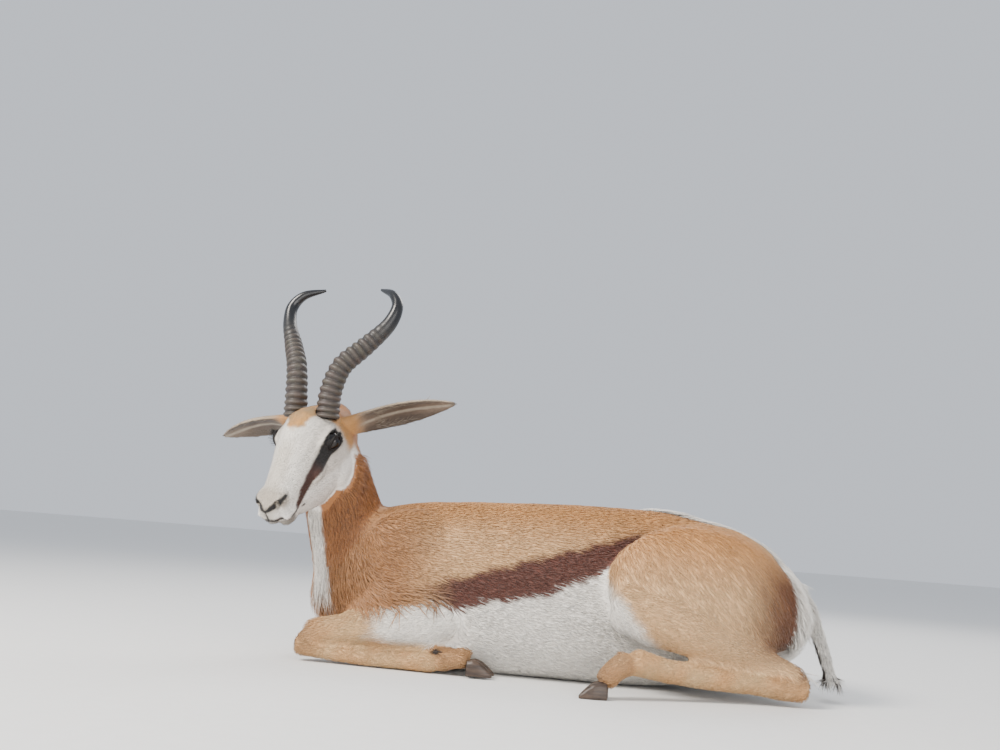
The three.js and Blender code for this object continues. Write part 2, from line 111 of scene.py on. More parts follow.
def copy_of(name, nodes, swell=0.0):
    """Joins copies of CAD solids into one new mesh, each swollen so that they reach into one another."""
    copies = []
    for node in nodes:
        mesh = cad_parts[node].data.copy()
        mesh.materials.clear()
        piece = bpy.data.objects.new(name, mesh)
        bpy.context.scene.collection.objects.link(piece)
        choose(piece)
        bpy.ops.object.mode_set(mode="EDIT")
        bpy.ops.mesh.select_all(action="SELECT")
        bpy.ops.mesh.remove_doubles(threshold=1e-5)
        bpy.ops.object.mode_set(mode="OBJECT")
        if swell:
            finish_with(piece, "DISPLACE", strength=swell, mid_level=0)
        copies.append(piece)
    deselect()
    for piece in copies:
        piece.select_set(True)
    bpy.context.view_layer.objects.active = copies[0]
    if len(copies) > 1:
        bpy.ops.object.join()
    return copies[0]


def places(mesh):
    at = np.empty(len(mesh.vertices) * 3, np.float32)
    mesh.vertices.foreach_get("co", at)
    return at.reshape(-1, 3).astype(float)


def outward(mesh):
    way = np.empty(len(mesh.vertices) * 3, np.float32)
    mesh.vertex_normals.foreach_get("vector", way)
    return way.reshape(-1, 3).astype(float)


def set_places(mesh, at):
    mesh.vertices.foreach_set("co", np.ascontiguousarray(at, np.float32).ravel())
    mesh.update()


def spread(mesh, values, ease, rounds):
    """Eases what each point holds towards the mean of its neighbours, by its own share."""
    ends = np.empty(len(mesh.edges) * 2, np.int32)
    mesh.edges.foreach_get("vertices", ends)
    a, b = ends.reshape(-1, 2).T
    count = len(values)
    ties = np.maximum(np.bincount(a, minlength=count) + np.bincount(b, minlength=count), 1)
    held = values.reshape(count, -1).copy()
    for _ in range(rounds):
        for k in range(held.shape[1]):
            line = held[:, k]
            around = np.bincount(a, line[b], count) + np.bincount(b, line[a], count)
            held[:, k] = line + ease * (around / ties - line)
    return held.reshape(values.shape)


def step(low, high, value):
    t = np.clip((value - low) / (high - low), 0, 1)
    return t * t * (3 - 2 * t)


# which solid each point of the hide lies on
region_faces, region_points, region_of_face = [], [], []
for number, node in enumerate(FLESH):
    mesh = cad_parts[node].data
    mesh.calc_loop_triangles()
    start = len(region_points)
    region_points.extend(v.co.copy() for v in mesh.vertices)
    for triangle in mesh.loop_triangles:
        region_faces.append([start + i for i in triangle.vertices])
        region_of_face.append(number)
region_tree = BVHTree.FromPolygons(region_points, region_faces)


def regions(points):
    return np.array([region_of_face[region_tree.find_nearest(Vector(p))[2]] for p in points])


def is_part(region, *words):
    wanted = [i for i, node in enumerate(FLESH) if any(node.startswith(word) for word in words)]
    return np.isin(region, wanted)


def by_part(region, values, other):
    """A value for each point, looked up by the part it lies on."""
    out = np.full(len(region), float(other))
    for part, value in values.items():
        out[is_part(region, part)] = value
    return out


BODY_GRID = 0.0050
HIDE_GRID = 0.0023
body = copy_of("body_form", [n for n in FLESH if n not in ("head", "ear_left", "ear_right")], 0.0012)
finish_with(body, "REMESH", mode="VOXEL", voxel_size=BODY_GRID)
body_region = regions(places(body.data))
body_ease = {"trunk": 0.5, "thigh": 0.5, "neck": 0.3, "gaskin": 0.07, "forearm": 0.07}
ease = by_part(body_region, body_ease, 0.02)
set_places(body.data, spread(body.data, places(body.data), ease, 45))
head_form = copy_of("head_form", ["head"])
ear_form = copy_of("ear_form", ["ear_left", "ear_right"], 0.0005)
deselect()
for piece in (head_form, ear_form, body):
    piece.select_set(True)
bpy.context.view_layer.objects.active = body
bpy.ops.object.join()
hide = body
hide.name = "hide"
hide.data.name = "hide"
finish_with(hide, "REMESH", mode="VOXEL", voxel_size=HIDE_GRID)
hide_region = regions(places(hide.data))
ease = np.where(is_part(hide_region, "head", "ear"), 0.28, 0.5)
set_places(hide.data, spread(hide.data, places(hide.data), ease, 9))

# the skin lies under the coat, deepest on the neck and body
COAT_DEPTH = {
    "trunk": 0.0030, "thigh": 0.0028, "neck": 0.0034, "tail": 0.003,
    "gaskin": 0.002, "forearm": 0.002, "ear": 0.0003,
}
FACE_AND_LEG_DEPTH = 0.0008
ABOVE_FLOOR = 0.0006
depth = by_part(hide_region, COAT_DEPTH, FACE_AND_LEG_DEPTH)
depth = spread(hide.data, depth, 0.5, 14)
skin_at = places(hide.data) - depth[:, None] * outward(hide.data)
skin_at[:, 2] = np.maximum(skin_at[:, 2], ABOVE_FLOOR)
set_places(hide.data, skin_at)

# thin the plain areas of the body and keep the head, ears and feet fine
coarse = hide.vertex_groups.new(name="coarse")
plain = np.flatnonzero(~is_part(hide_region, "head", "ear", "hind_pastern", "fore_pastern"))
coarse.add([int(i) for i in plain], 1.0, "REPLACE")
HIDE_TRIANGLES = 180000
share = HIDE_TRIANGLES / (2 * len(hide.data.polygons))
finish_with(hide, "DECIMATE", ratio=share, vertex_group="coarse", vertex_group_factor=1.0)
hide.vertex_groups.clear()
finish_with(hide, "TRIANGULATE")

# Markings: what colour the hair grows at each place, the same for the skin and for the coat on it.
# Fawn back, dark flank band, white belly and rump, white face with a dark stripe through the eye.
HEAD_AT = np.array((-0.412, -0.102, 0.3385))
HEAD_SCALE = 1.03
HEAD_TURN = np.array(
    Matrix.Rotation(pi + radians(73), 3, "Z")
    @ Matrix.Rotation(radians(39.5), 3, "Y")
    @ Matrix.Rotation(radians(-1), 3, "X")
)
EAR_LENGTH = 0.190
# root, way to the tip, way the cup opens
EARS = {
    "left": ((-0.364, -0.072, 0.371), (0.187, 0.052, 0.062), (-0.1, -0.62, -0.72)),
    "right": ((-0.447, -0.058, 0.376), (-0.153, 0.092, -0.020), (0.1, -0.5, -0.85)),
}


def tint(red, green, blue):
    """A colour from its usual 0 to 255 values."""
    c = np.array((red, green, blue)) / 255
    return np.where(c <= 0.04045, c / 12.92, ((c + 0.055) / 1.055) ** 2.4)


def lay(base, colour, amount):
    return base + (colour - base) * amount[:, None]


def head_frame(at):
    """Millimetres forward, left and up from the point between the eyes."""
    return (at - HEAD_AT) @ HEAD_TURN * (1000 / HEAD_SCALE)


def from_head(*place):
    return HEAD_AT + HEAD_TURN @ np.array(place) * (HEAD_SCALE / 1000)


def unit(v):
    v = np.asarray(v, float)
    return v / np.maximum(np.linalg.norm(v, axis=-1, keepdims=True), 1e-9)


def from_line(at, points):
    """Distance from a broken line, and the share along it of the nearest point."""
    points = np.array(points, float)
    nearest, share = np.full(len(at), 1e9), np.zeros(len(at))
    for i in range(len(points) - 1):
        a, along = points[i], points[i + 1] - points[i]
        t = np.clip((at - a) @ along / (along @ along), 0, 1)
        away = np.linalg.norm(at - a - t[:, None] * along, axis=1)
        closer = away < nearest
        nearest[closer] = away[closer]
        share[closer] = (i + t[closer]) / (len(points) - 1)
    return nearest, share


FAWN, PALE_FAWN, CINNAMON = tint(202, 147, 90), tint(222, 182, 134), tint(152, 97, 54)
CHESTNUT, BAND, WHITE = tint(106, 60, 33), tint(96, 54, 42), tint(244, 239, 231)
LEG_FAWN = tint(210, 176, 130)
BELLY_LINE = (
    (-0.34, -0.25, -0.13, -0.102, -0.013, 0.073, 0.12, 0.40),
    (0.03, 0.07, 0.106, 0.115, 0.133, 0.175, 0.19, 0.2),
)
STRIPE = (
    (-20, 58, 15), (8, 57, 9), (31, 44, -6), (48, 40, -14), (64, 36, -22), (80, 33, -30), (98, 30, -44),
)
STRIPE_HALF = ((0, 0.167, 0.333, 0.667, 1.0), (12.5, 17.0, 11.0, 7.8, 6.2))
MOUTH = ((84, 30, -55), (98, 31, -52), (118, 25, -50), (133, 10, -48), (138, 0, -47))
NECK_CORE_X = (
    (0.08, 0.118, 0.172, 0.222, 0.272, 0.35),
    (-0.31, -0.318, -0.345, -0.366, -0.376, -0.394),
)
NECK_CORE_Y = ((0.172, 0.222, 0.272, 0.35), (0.0, -0.008, -0.024, -0.058))
NOSTRIL = ((113, 25, -17), (125, 19, -21), (135, 8, -27), (139, 0, -31))
NOSTRIL_HALF = ((0, 0.35, 0.7, 1), (2.8, 5.2, 3.6, 2.0))


def all_over(at, colour):
    return np.tile(colour, (len(at), 1))


def ragged(at, size, seed):
    """A soft uneven value about -1 to 1, the same each run."""
    a, b, c = at.T / size
    return (
        np.sin(1.9 * a + 1.3 * b + seed) * np.sin(1.7 * c - 0.8 * b + 2 * seed)
        + 0.6 * np.sin(4.1 * a - 2.3 * c + 3 * seed) * np.sin(3.7 * b + 2.9 * c + seed)
    ) / 1.3


def markings(at, way, region):
    """The coat's colour at each place, from where it is, which way it faces and the part it lies on."""
    x, y, z = at.T
    side = np.abs(y)
    uneven = 0.004 * ragged(at, 0.014, 1.0)
    tone = all_over(at, FAWN)
    tone = lay(tone, PALE_FAWN, 0.75 * step(0.265, 0.20, z))
    tone = lay(tone, CINNAMON, 0.35 * step(0.262, 0.276, z))
    tone = lay(tone, CINNAMON, 0.75 * step(-0.14, -0.27, x) * step(0.31, 0.20, z))

    # flank band and white underside
    trunk = is_part(region, "trunk")
    belly = np.interp(x, *BELLY_LINE)
    top = 0.156 + 0.318 * (x + 0.128)
    band = step(top + 0.007, top - 0.006, z + uneven) * step(-0.235, -0.15, x) * step(0.135, 0.115, x)
    tone = np.where(trunk[:, None], lay(tone, BAND, band), tone)
    under = step(belly + 0.004, belly - 0.004, z + uneven) * trunk
    tone = lay(tone, WHITE, under)

    # thigh and gaskin: white before the stifle, chestnut at the rear edge
    haunch = is_part(region, "thigh", "gaskin")
    haunch_tone = lay(all_over(at, PALE_FAWN), FAWN, step(0.14, 0.24, z))
    rear_edge = step(0.262, 0.352, x + 2 * uneven) * step(0.24, 0.17, z) * step(0.05, 0.09, z)
    haunch_tone = lay(haunch_tone, CHESTNUT, 0.95 * rear_edge)
    stifle = z + 1.24 * (x - 0.077) - 0.170 + 1.5 * uneven
    haunch_tone = lay(haunch_tone, WHITE, step(0.022, -0.016, stifle))
    tone = np.where(haunch[:, None], haunch_tone, tone)

    # white rump round the tail and the white fan along the croup, each edged in chestnut
    rear = is_part(region, "trunk", "thigh", "gaskin")
    edge = np.interp(side, (0.0, 0.065, 0.10, 0.14), (0.328, 0.338, 0.366, 0.40))
    fan = np.interp(x, (0.13, 0.20, 0.36), (0.0, 0.013, 0.030))
    rump_rim = step(edge - 0.022, edge - 0.006, x + uneven) * step(0.25, 0.2, z)
    tone = lay(tone, CHESTNUT, 0.7 * rear * rump_rim)
    fan_rim = step(fan + 0.014, fan + 0.006, side) * step(0.12, 0.15, x) * step(0.2, 0.24, z)
    tone = lay(tone, CHESTNUT, 0.6 * rear * fan_rim)
    tone = lay(tone, WHITE, rear * step(edge - 0.004, edge + 0.004, x + uneven) * step(0.235, 0.20, z))
    on_fan = step(fan + 0.003, fan - 0.003, side + uneven * 0.5) * step(0.13, 0.15, x) * step(0.18, 0.2, z)
    tone = lay(tone, WHITE, rear * on_fan)

    # legs: fawn outside, white inside and at the elbow, a little darker over hock, knee and fetlock
    leg = is_part(region, "hind_cannon", "hind_pastern", "forearm", "fore_cannon", "fore_pastern")
    leg_tone = lay(all_over(at, LEG_FAWN), FAWN, 0.3 + 0.3 * ragged(at, 0.03, 4.0))
    hock = step(0.06, 0.02, np.abs(x - 0.375)) * is_part(region, "hind_cannon")
    leg_tone = lay(leg_tone, CINNAMON, 0.25 * hock)
    leg_tone = lay(leg_tone, CINNAMON, 0.35 * step(-0.34, -0.385, x))
    leg_tone = lay(leg_tone, CINNAMON, 0.45 * is_part(region, "hind_pastern", "fore_pastern"))
    inward = step(0.35, 0.7, -np.sign(y) * way[:, 1])
    leg_tone = lay(leg_tone, WHITE, 0.9 * inward)
    elbow = is_part(region, "forearm") * step(-0.290, -0.235, x + 2 * uneven) * step(0.035, 0.05, z)
    leg_tone = lay(leg_tone, WHITE, elbow)
    tone = np.where(leg[:, None], leg_tone, tone)

    # neck: cinnamon sides and a white strip down the throat, turned as the head is turned
    neck = is_part(region, "neck", "trunk") * step(-0.29, -0.32, x)
    core_x = np.interp(z, *NECK_CORE_X)
    core_y = np.interp(z, *NECK_CORE_Y)
    turn = np.degrees(np.arctan2(core_x - x, core_y - y))
    middle = np.interp(z, (0.05, 0.11, 0.2, 0.35), (62, 50, 43, 34))
    half = np.interp(z, (0.05, 0.11, 0.2, 0.30, 0.35), (22, 18, 17, 20, 34))
    strip = step(half + 4, half - 4, np.abs(turn - middle) + 600 * uneven) * step(0.085, 0.125, z)
    tone = lay(tone, CINNAMON, 0.8 * is_part(region, "neck") * step(0.12, 0.2, z))
    tone = lay(tone, WHITE, neck * strip)

    # tail: white with a thin dark line and end
    tail = is_part(region, "tail")
    tail_line = step(0.45, 0.8, -way[:, 0]) * step(0.14, 0.10, z)
    tail_tone = lay(all_over(at, WHITE), tint(52, 36, 28), tail_line)
    tail_tone = lay(tail_tone, tint(44, 34, 30), 0.85 * step(0.040, 0.018, z + 2 * uneven))
    tone = np.where(tail[:, None], tail_tone, tone)

    # head: white face with painted shade on its sides, golden forehead and poll, fawn nape, dark stripe,
    # nostrils, mouth, and a painted shadow under the chin
    head = is_part(region, "head")
    h = head_frame(at)
    face = h * (1, 0, 1) + np.abs(h) * (0, 1, 0)
    rough = 3.0 * ragged(h, 9.0, 2.0)
    hx, hy, hz = h.T
    # painted shade: the sides of the face above the jaw are greyed as if turned from the light
    cheek_shade = 0.55 * step(20, 40, face[:, 1]) * step(-46, -30, hz)
    head_tone = lay(all_over(at, tint(230, 224, 214)), tint(200, 190, 178), cheek_shade)
    poll = step(-22, -36, hx + rough) * step(-40, -22, hz + rough)
    head_tone = lay(head_tone, tint(190, 138, 78), poll)
    gold = np.interp(hx, (-60, -40, -5, 15, 23), (32, 27, 22, 15, 4))
    golden = lay(all_over(at, tint(196, 142, 76)), tint(160, 130, 88), 0.5 + 0.5 * ragged(h, 15.0, 6.0))
    forehead = step(gold + 3, gold - 3, np.abs(hy) + rough) * step(27, 18, hx + rough) * step(10, 24, hz)
    head_tone = lay(head_tone, golden, forehead)
    head_tone = lay(head_tone, WHITE, step(-28, -42, hz + rough) * step(-52, -42, hx + rough))
    nape = step(-44, -58, hx + rough) * step(-104, -84, hz + rough)
    head_tone = lay(head_tone, tint(168, 112, 64), nape)
    nose_top = 0.6 * step(28, 60, hx + rough) * step(20, 8, np.abs(hy) + rough)
    head_tone = lay(head_tone, tint(186, 177, 162), nose_top)
    head_tone = lay(head_tone, tint(168, 157, 142), 0.8 * step(100, 120, hx) * step(-36, -26, hz))
    away, share = from_line(face, STRIPE)
    stripe = step(1.2, -1.2, away - np.interp(share, *STRIPE_HALF) + 0.35 * rough)
    stripe_tone = lay(all_over(at, tint(18, 14, 13)), tint(62, 32, 22), step(0.34, 0.56, share))
    head_tone = lay(head_tone, stripe_tone, stripe)
    away, share = from_line(face, NOSTRIL)
    nostril = step(1.0, -1.0, away - np.interp(share, *NOSTRIL_HALF))
    head_tone = lay(head_tone, tint(20, 16, 15), nostril)
    groove = step(2.4, 1.0, face[:, 1]) * step(130, 134, hx) * step(-50, -46, hz) * step(-26, -30, hz)
    head_tone = lay(head_tone, tint(24, 18, 17), groove)
    # painted shadow: the underside of the chin is darkened as if in shade
    head_tone = lay(head_tone, tint(86, 76, 62), 0.8 * step(96, 112, hx) * step(-52, -58, hz))
    away, share = from_line(face, MOUTH)
    head_tone = lay(head_tone, tint(28, 21, 18), step(4.6, 2.8, away))
    tone = np.where(head[:, None], head_tone, tone)

    # ears: pale backs, a grey-brown cup with a light line along it and painted shade deep in it, dark below
    # from darker inner skin with painted shade under the rim, and a golden root
    for name, (root, along, opening) in EARS.items():
        part = is_part(region, "ear_" + name)
        share = (at - root) @ unit(along) / EAR_LENGTH
        into = way @ unit(opening)
        ear_tone = lay(all_over(at, tint(166, 148, 126)), tint(178, 130, 78), step(0.28, 0.08, share))
        pale = 0.6 * step(0.35, 0.8, share + 0.1 * ragged(at, 0.02, 3.0))
        ear_tone = lay(ear_tone, tint(202, 184, 160), pale)
        ear_tone = lay(ear_tone, tint(116, 100, 86), step(0.0, 0.35, into) * step(0.1, 0.24, share))
        # painted shade: the floor of the cup, facing out through the opening, is darkened as if deep in
        # shade
        cup = 0.7 * step(0.5, 0.9, into) * step(0.14, 0.3, share) * step(0.8, 0.55, share)
        ear_tone = lay(ear_tone, tint(70, 56, 48), cup)
        width_way = unit(np.cross(along, opening))
        from_middle = (at - root) @ width_way / 0.02
        inside = step(0.0, 0.35, into) * step(0.1, 0.24, share)
        # the lower side inside is darker: partly the ear's darker inner skin, partly painted shade under
        # the rim
        ear_tone = lay(ear_tone, tint(66, 54, 45), 0.75 * inside * step(0.25, 0.7, from_middle))
        ear_tone = lay(ear_tone, tint(92, 81, 70), 0.6 * inside * step(-0.25, -0.7, from_middle))
        ear_tone = lay(ear_tone, tint(184, 172, 154), 0.6 * inside * step(0.22, 0.05, np.abs(from_middle)))
        ear_tone = lay(ear_tone, tint(60, 46, 40), 0.8 * step(0.95, 1.0, share))
        tone = np.where(part[:, None], ear_tone, tone)

    # dark horn of the dewclaws
    for place in ((0.140, 0.206, 0.037), (-0.172, 0.112, 0.034)):
        apart = (at * (1, 0, 1) + side[:, None] * (0, 1, 0) - place) / (0.013, 0.017, 0.008)
        claw = is_part(region, "hind_pastern", "fore_pastern")
        claw = claw * step(1.0, 0.8, np.linalg.norm(apart, axis=1))
        tone = lay(tone, tint(50, 40, 34), claw * step(0.4, 0.7, np.abs(apart[:, 1])))
    shade = 1 + 0.05 * ragged(at, 0.035, 5.0) + 0.04 * ragged(at, 0.012, 7.0)
    return np.clip(tone * shade[:, None], 0, 1)


hide_at, hide_way = places(hide.data), outward(hide.data)
hide_region = regions(hide_at)
corners = np.empty(len(hide.data.polygons) * 3, np.int32)
hide.data.polygons.foreach_get("vertices", corners)
corners = corners.reshape(-1, 3)
spots = hide_at[corners]
face_cross = np.cross(spots[:, 1] - spots[:, 0], spots[:, 2] - spots[:, 0])
face_area = 0.5 * np.linalg.norm(face_cross, axis=1)
face_region = regions(spots.mean(axis=1))


def unwrap(spots, cross, region):
    """Flat pattern of the hide: each part is cut into six flat views of it, laid out in rows."""
    facing = np.argmax(np.concatenate((cross, -cross), axis=1), axis=1)
    island = region * 6 + facing
    flat = np.empty(spots.shape[:2] + (2,))
    for k in range(6):
        chosen = facing == k
        flat[chosen] = spots[chosen][:, :, [(1, 2), (2, 0), (0, 1)][k % 3]] * (1 if k < 3 else -1, 1)
    sizes = []
    for i in np.unique(island):
        chosen = island == i
        low = flat[chosen].min(axis=(0, 1))
        flat[chosen] -= low
        sizes.append((i, flat[chosen].max(axis=(0, 1)) + 0.012))
    sizes.sort(key=lambda s: -s[1][1])
    wide = 0.9
    while True:
        shelf_x = shelf_y = shelf = 0.0
        corner = {}
        for i, (w, h) in sizes:
            if shelf_x + w > wide:
                shelf_x, shelf_y, shelf = 0.0, shelf_y + shelf, 0.0
            corner[i] = (shelf_x + 0.006, shelf_y + 0.006)
            shelf_x, shelf = shelf_x + w, max(shelf, h)
        if shelf_y + shelf <= wide:
            break
        wide *= 1.02
    flat += np.array([corner[i] for i in island])[:, None, :]
    return flat / wide


hide_flat = unwrap(spots, face_cross, face_region)
pattern = hide.data.uv_layers.new(name="OFBake")
pattern.data.foreach_set("uv", hide_flat.astype(np.float32).ravel())
hide_tone = markings(hide_at, hide_way, hide_region)


def set_tone(mesh, tone):
    layer = mesh.color_attributes.new(name="coat_tone", type="FLOAT_COLOR", domain="POINT")
    layer.data.foreach_set("color", np.column_stack((tone, np.ones(len(tone)))).astype(np.float32).ravel())


def nodes_of(name):
    material = bpy.data.materials.new(name)
    material.use_nodes = True
    tree = material.node_tree
    return material, tree, tree.nodes["Principled BSDF"]


def coat_material(name, rough, sheen, streak, height):
    """Hair colour from the markings, broken into fine strands, with the soft sheen of a short coat."""
    material, tree, surface = nodes_of(name)
    tone = tree.nodes.new("ShaderNodeAttribute")
    tone.attribute_name = "coat_tone"
    place = tree.nodes.new("ShaderNodeTexCoord")
    lie = tree.nodes.new("ShaderNodeMapping")
    lie.inputs["Scale"].default_value = (0.3, 1, 1)
    strands = tree.nodes.new("ShaderNodeTexNoise")
    strands.inputs["Scale"].default_value = streak
    strands.inputs["Detail"].default_value = 4
    strands.inputs["Roughness"].default_value = 0.65
    depth = tree.nodes.new("ShaderNodeMapRange")
    depth.inputs["From Min"].default_value = 0.3
    depth.inputs["From Max"].default_value = 0.7
    depth.inputs["To Min"].default_value = 0.80
    depth.inputs["To Max"].default_value = 1.12
    mixed = tree.nodes.new("ShaderNodeVectorMath")
    mixed.operation = "SCALE"
    bump = tree.nodes.new("ShaderNodeBump")
    bump.inputs["Strength"].default_value = 0.5
    bump.inputs["Distance"].default_value = height
    finish = tree.nodes.new("ShaderNodeMapRange")
    finish.inputs["To Min"].default_value = rough - 0.08
    finish.inputs["To Max"].default_value = rough + 0.1
    for a, b in (
        (place.outputs["Object"], lie.inputs["Vector"]),
        (lie.outputs["Vector"], strands.inputs["Vector"]),
        (strands.outputs["Fac"], depth.inputs["Value"]),
        (strands.outputs["Fac"], bump.inputs["Height"]),
        (strands.outputs["Fac"], finish.inputs["Value"]),
        (tone.outputs["Color"], mixed.inputs["Vector"]),
        (depth.outputs["Result"], mixed.inputs["Scale"]),
        (mixed.outputs["Vector"], surface.inputs["Base Color"]),
        (finish.outputs["Result"], surface.inputs["Roughness"]),
        (bump.outputs["Normal"], surface.inputs["Normal"]),
    ):
        tree.links.new(a, b)
    surface.inputs["Specular IOR Level"].default_value = 0.35
    surface.inputs["Sheen Weight"].default_value = sheen
    surface.inputs["Sheen Roughness"].default_value = 0.5
    return material


set_tone(hide.data, hide_tone)
hide.data.materials.clear()
hide.data.materials.append(coat_material("skin_under_coat", 0.6, 0.1, 320, 0.0006))
hide.data.polygons.foreach_set("use_smooth", np.ones(len(hide.data.polygons), bool))
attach(hide, "root")
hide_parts(*FLESH)

# Coat: short flat tufts that lie along the body, each one a closed sliver rooted in the skin.
# They are longest on the neck, body and tail and finest on the face, ears and feet.
chance = np.random.default_rng(41)


def lie_of(at, region):
    """The way the hair lies, from the nose back along the body and down the legs."""
    way = np.tile((1.0, 0.0, -0.22), (len(at), 1))
    ways = {
        "head": HEAD_TURN @ (-1, 0, -0.15), "neck": (0.30, 0.16, -0.95), "tail": (0.22, 0.06, -1),
        "thigh": (0.6, 0, -0.8), "gaskin": (1, 0, -0.28), "hind_cannon": (-1, -0.1, -0.1),
        "hind_pastern": (-1, -0.2, -0.4), "forearm": (-1, 0, -0.2), "fore_cannon": (1, 0, -0.1),
        "fore_pastern": (1, 0, -0.2),
    }
    for part, lie in ways.items():
        way[is_part(region, part)] = unit(lie)
    for name, (root, along, opening) in EARS.items():
        way[is_part(region, "ear_" + name)] = unit(along)
    chest = step(-0.24, -0.34, at[:, 0]) * is_part(region, "trunk")
    return lay(way, np.array((0.5, 0, -0.85)), chest)


hide_lie = spread(hide.data, lie_of(hide_at, hide_region), 0.6, 25)

# part: tufts for each square metre, length, width, how far the tip lifts
COAT = {
    "trunk": (104000, 0.020, 0.0019, 0.0021),
    "neck": (140000, 0.028, 0.0020, 0.0040),
    "thigh": (110000, 0.016, 0.0016, 0.0015),
    "gaskin": (160000, 0.012, 0.0015, 0.0017),
    "forearm": (160000, 0.012, 0.0015, 0.0017),
    "hind_cannon": (230000, 0.008, 0.0014, 0.0014),
    "fore_cannon": (230000, 0.008, 0.0014, 0.0014),
    "hind_pastern": (260000, 0.008, 0.0014, 0.0016),
    "fore_pastern": (260000, 0.008, 0.0014, 0.0016),
    "tail": (240000, 0.020, 0.0014, 0.0032),
    "head": (520000, 0.0050, 0.0011, 0.0011),
    "ear": (300000, 0.0052, 0.0010, 0.0011),
}


def roots(density, pick):
    """Roots spread over the chosen triangles of the hide, as evenly as chance allows."""
    weight = face_area * density * pick
    total = weight.sum()
    count = int(total)
    mark = (np.arange(count) + chance.random(count)) / count * total
    face = np.minimum(np.searchsorted(np.cumsum(weight), mark), len(weight) - 1)
    u, v = chance.random(count), chance.random(count)
    over = u + v > 1
    u[over], v[over] = 1 - u[over], 1 - v[over]
    share = np.column_stack((1 - u - v, u, v))

    def blend(values):
        return np.einsum("ij,ijk->ik", share, values[corners[face]])

    flat = np.einsum("ij,ijk->ik", share, hide_flat[face])
    return face_region[face], blend(hide_at), unit(blend(hide_way)), blend(hide_lie), flat


def swung(lie, up, spread_angle):
    """Lies each tuft flat on the skin and swings it a little to one side or the other."""
    lie = unit(lie - up * np.einsum("ij,ij->i", lie, up)[:, None])
    across = np.cross(lie, up)
    angle = chance.normal(0, spread_angle, len(lie))[:, None]
    return lie * np.cos(angle) + across * np.sin(angle)


ROOT_SUNK = 0.0012
PATCH = 0.003


def tufts(name, at, up, lie, flat, tone, length, width, lift, tiers, root_shade=0.80):
    """Closed tapered slivers: three-sided rings from the sunk root up to a point at the tip."""
    count = len(at)
    across = np.cross(lie, up)
    length, width, lift = (np.broadcast_to(v, count)[:, None] for v in (length, width, lift))
    shares = np.linspace(0, 1, tiers + 1)[:-1]
    points, along, sideways = [], [], []
    for i, share in enumerate(shares):
        rise = -ROOT_SUNK if i == 0 else lift * (1 - (1 - share) ** 2)
        centre = at + lie * length * share + up * rise
        w = width * (0.42 if i == 0 else 0.5 * (1 - share) ** 0.6)
        points += [centre - across * w, centre + up * w * 0.55, centre + across * w]
        along += [share] * 3
        sideways += [-1, 0, 1]
    points.append(at + lie * length * (1 - 0.02) + up * lift * 0.9)
    along.append(1)
    sideways.append(0)
    points = np.stack(points, axis=1)
    points[:, 3:, 2] = np.maximum(points[:, 3:, 2], ABOVE_FLOOR)
    one = [(0, 1, 2)]
    for ring in range(0, 3 * (tiers - 1), 3):
        for k in range(3):
            a, b = ring + k, ring + (k + 1) % 3
            one += [(a, a + 3, b), (b, a + 3, b + 3)]
    last = 3 * (tiers - 1)
    one += [(last + k, last + 3, last + (k + 1) % 3) for k in range(3)]
    one = np.array(one)
    a, b, c = (points[0][one[:, k]] - points[0].mean(axis=0) for k in range(3))
    if np.einsum("ij,ij->i", a, np.cross(b, c)).sum() < 0:
        one = one[:, ::-1]
    size = points.shape[1]
    faces = (one[None] + size * np.arange(count)[:, None, None]).reshape(-1, 3)
    mesh = bpy.data.meshes.new(name)
    mesh.vertices.add(count * size)
    mesh.vertices.foreach_set("co", points.astype(np.float32).ravel())
    mesh.loops.add(faces.size)
    mesh.loops.foreach_set("vertex_index", faces.astype(np.int32).ravel())
    mesh.polygons.add(len(faces))
    mesh.polygons.foreach_set("loop_start", np.arange(0, faces.size, 3, dtype=np.int32))
    mesh.polygons.foreach_set("use_smooth", np.ones(len(faces), bool))
    mesh.update(calc_edges=True)
    patch = np.column_stack((np.array(sideways) * PATCH / 2, (np.array(along) - 0.5) * PATCH))
    spot = (flat[:, None, :] + patch[None]).reshape(-1, 2)
    pattern = mesh.uv_layers.new(name="OFBake")
    pattern.data.foreach_set("uv", np.clip(spot[faces], 0, 1).astype(np.float32).ravel())
    own = chance.normal(1, 0.06, count)[:, None, None]
    # painted shade: each tuft darkens towards its root, where it lies under the others, and lightens
    # towards its tip
    root_shade_to_tip = (root_shade + (1.10 - root_shade) * np.array(along))[None, :, None]
    set_tone(mesh, np.clip(tone[:, None, :] * own * root_shade_to_tip, 0, 1).reshape(-1, 3))
    piece = bpy.data.objects.new(name, mesh)
    bpy.context.scene.collection.objects.link(piece)
    return piece


short_coat = coat_material("short_coat", 0.55, 0.12, 420, 0.0003)
fine_coat = coat_material("fine_coat", 0.6, 0.10, 700, 0.0002)


def grow(name, words, material, tiers, pieces=1, swing=0.09, where=None, facts=None, paint=None):
    """Grows the coat of one part, cut along the body into pieces of a handy size."""
    chosen = is_part(face_region, *words)
    if where is not None:
        chosen = chosen * where
    kinds = COAT if facts is None else {word: facts for word in words}
    density = by_part(face_region, {part: kind[0] for part, kind in kinds.items()}, 0)
    region, at, up, lie, flat = roots(density, chosen)
    tone = markings(at, up, region) if paint is None else all_over(at, paint)
    lie = swung(lie, up, swing)
    sizes = [by_part(region, {part: kind[k] for part, kind in kinds.items()}, 0) for k in (1, 2, 3)]
    length, width, lift = (v * chance.uniform(0.75, 1.25, len(v)) for v in sizes)
    order = np.argsort(at[:, 0])
    for i, own in enumerate(np.array_split(order, pieces)):
        piece = tufts(
            name if pieces == 1 else f"{name}_{i + 1}", at[own], up[own], lie[own], flat[own], tone[own],
            length[own], width[own], lift[own], tiers,
        )
        piece.data.materials.append(material)
        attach(piece, "root")


